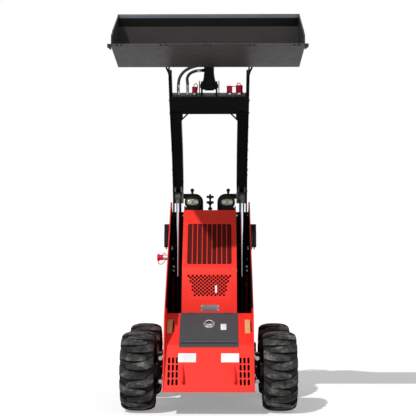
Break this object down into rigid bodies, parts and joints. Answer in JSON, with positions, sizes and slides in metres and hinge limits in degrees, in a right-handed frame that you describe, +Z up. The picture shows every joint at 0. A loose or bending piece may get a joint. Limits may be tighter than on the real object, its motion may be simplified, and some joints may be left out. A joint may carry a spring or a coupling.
{
  "type": "compact wheeled skid steer loader",
  "caption": "Compact stand-on loader on four lugged tyres, with its lift arms fully raised and a wide open bucket; the arms lift, the bucket tilts and the wheels roll.",
  "frame": {"origin": "on the ground, midway across the machine and midway between the bucket lip and the end of the step platform", "axes": "+Z up, -Y out of the nose, where the bucket works, +X to the left of an operator who stands at the rear and faces the nose"},
  "size_m": [1.188, 1.964, 2.523],
  "materials": {
    "black_paint": "satin",
    "bucket_grey": "satin",
    "chrome": "polished",
    "coupler_plastic": "gloss",
    "dark_iron": "rough",
    "fork_grey": "satin",
    "hose_rubber": "satin",
    "lid_grey": "satin",
    "mesh_dark": "matt",
    "pad_rubber": "matt",
    "red_paint": "gloss",
    "rim_paint": "satin",
    "steel": "brushed",
    "tyre_rubber": "matt"
  },
  "bodies": {
    "chassis": {"aux_coupler": "coupler_plastic", "control_console": "black_paint", "control_levers": "black_paint", "deck": "red_paint", "engine_block": "dark_iron", "floor_pan": "black_paint", "fluid_tank": "dark_iron", "frame_pins": "steel", "frame_plate_left": "black_paint", "frame_plate_right": "black_paint", "front_panel": "red_paint", "fuel_cap": "chrome", "fuel_lid": "lid_grey", "fuel_tank": "dark_iron", "grab_rails": "black_paint", "guard_plates": "black_paint", "hood": "red_paint", "hood_grille": "mesh_dark", "panel_stops": "red_paint", "rear_panel": "red_paint", "side_lamps": "black_paint", "side_plate_left": "red_paint", "side_plate_right": "red_paint", "step_platform": "black_paint", "thigh_pad": "pad_rubber", "wheel_motors": "dark_iron", "work_lamps": "black_paint"},
    "arms": {"lift_arm_left": "black_paint", "lift_arm_right": "black_paint", "arm_crossbar": "black_paint", "arm_gussets": "black_paint", "lift_forks": "fork_grey", "hydraulic_couplers": "coupler_plastic", "tilt_hose_inner": "hose_rubber", "tilt_hose_outer": "hose_rubber"},
    "bucket": {"bucket_shell": "bucket_grey", "cutting_edge": "bucket_grey", "bucket_brackets": "bucket_grey"},
    "lift_barrel_pair": {"lift_barrels": "black_paint"},
    "lift_rod_pair": {"lift_rods": "chrome"},
    "tilt_cylinder_barrel": {"tilt_barrel": "black_paint"},
    "tilt_cylinder_rod": {"tilt_rod": "chrome"},
    "wheel_front_left": {"tyre_front_left": "tyre_rubber", "rim_front_left": "rim_paint"},
    "wheel_front_right": {"tyre_front_right": "tyre_rubber", "rim_front_right": "rim_paint"},
    "wheel_rear_left": {"tyre_rear_left": "tyre_rubber", "rim_rear_left": "rim_paint"},
    "wheel_rear_right": {"tyre_rear_right": "tyre_rubber", "rim_rear_right": "rim_paint"}
  },
  "joints": [
    {"name": "front_left_wheel_spin", "type": "hinge", "parent": "chassis", "child": "wheel_front_left", "pos_m": [0.452, -0.33, 0.254], "axis": [1, 0, 0], "continuous": true},
    {"name": "front_right_wheel_spin", "type": "hinge", "parent": "chassis", "child": "wheel_front_right", "pos_m": [-0.452, -0.33, 0.254], "axis": [1, 0, 0], "continuous": true},
    {"name": "rear_left_wheel_spin", "type": "hinge", "parent": "chassis", "child": "wheel_rear_left", "pos_m": [0.452, 0.33, 0.254], "axis": [1, 0, 0], "continuous": true},
    {"name": "rear_right_wheel_spin", "type": "hinge", "parent": "chassis", "child": "wheel_rear_right", "pos_m": [-0.452, 0.33, 0.254], "axis": [1, 0, 0], "continuous": true},
    {"name": "arm_lift", "type": "hinge", "parent": "chassis", "child": "arms", "pos_m": [0, 0.437, 1.035], "axis": [1, 0, 0], "range_deg": [0, 92]},
    {"name": "bucket_tilt", "type": "hinge", "parent": "arms", "child": "bucket", "pos_m": [0, -0.41, 2.33], "axis": [-1, 0, 0], "range_deg": [-40, 88]},
    {"name": "lift_barrel_swing", "type": "hinge", "parent": "chassis", "child": "lift_barrel_pair", "pos_m": [0, 0.15, 0.235], "axis": [1, 0, 0], "range_deg": [-0.1, 15.04]},
    {"name": "lift_rod_slide", "type": "slide", "parent": "lift_barrel_pair", "child": "lift_rod_pair", "axis": [0, 0.144, 0.9896], "range_m": [-0.5067, 0.001]},
    {"name": "tilt_barrel_swing", "type": "hinge", "parent": "arms", "child": "tilt_cylinder_barrel", "pos_m": [0, -0.22, 2.115], "axis": [-1, 0, 0], "range_deg": [-5.76, 12.42]},
    {"name": "tilt_rod_slide", "type": "slide", "parent": "tilt_cylinder_barrel", "child": "tilt_cylinder_rod", "axis": [0, -0.5471, 0.837], "range_m": [-0.088, 0.0405]}
  ],
  "couplings": [
    {"joint": "lift_barrel_swing", "follows": "arm_lift", "ratio": 0.16129},
    {"joint": "lift_rod_slide", "follows": "arm_lift", "m_per_rad": -0.31494},
    {"joint": "tilt_barrel_swing", "follows": "bucket_tilt", "ratio": 0.13889},
    {"joint": "tilt_rod_slide", "follows": "bucket_tilt", "m_per_rad": -0.056616}
  ]
}
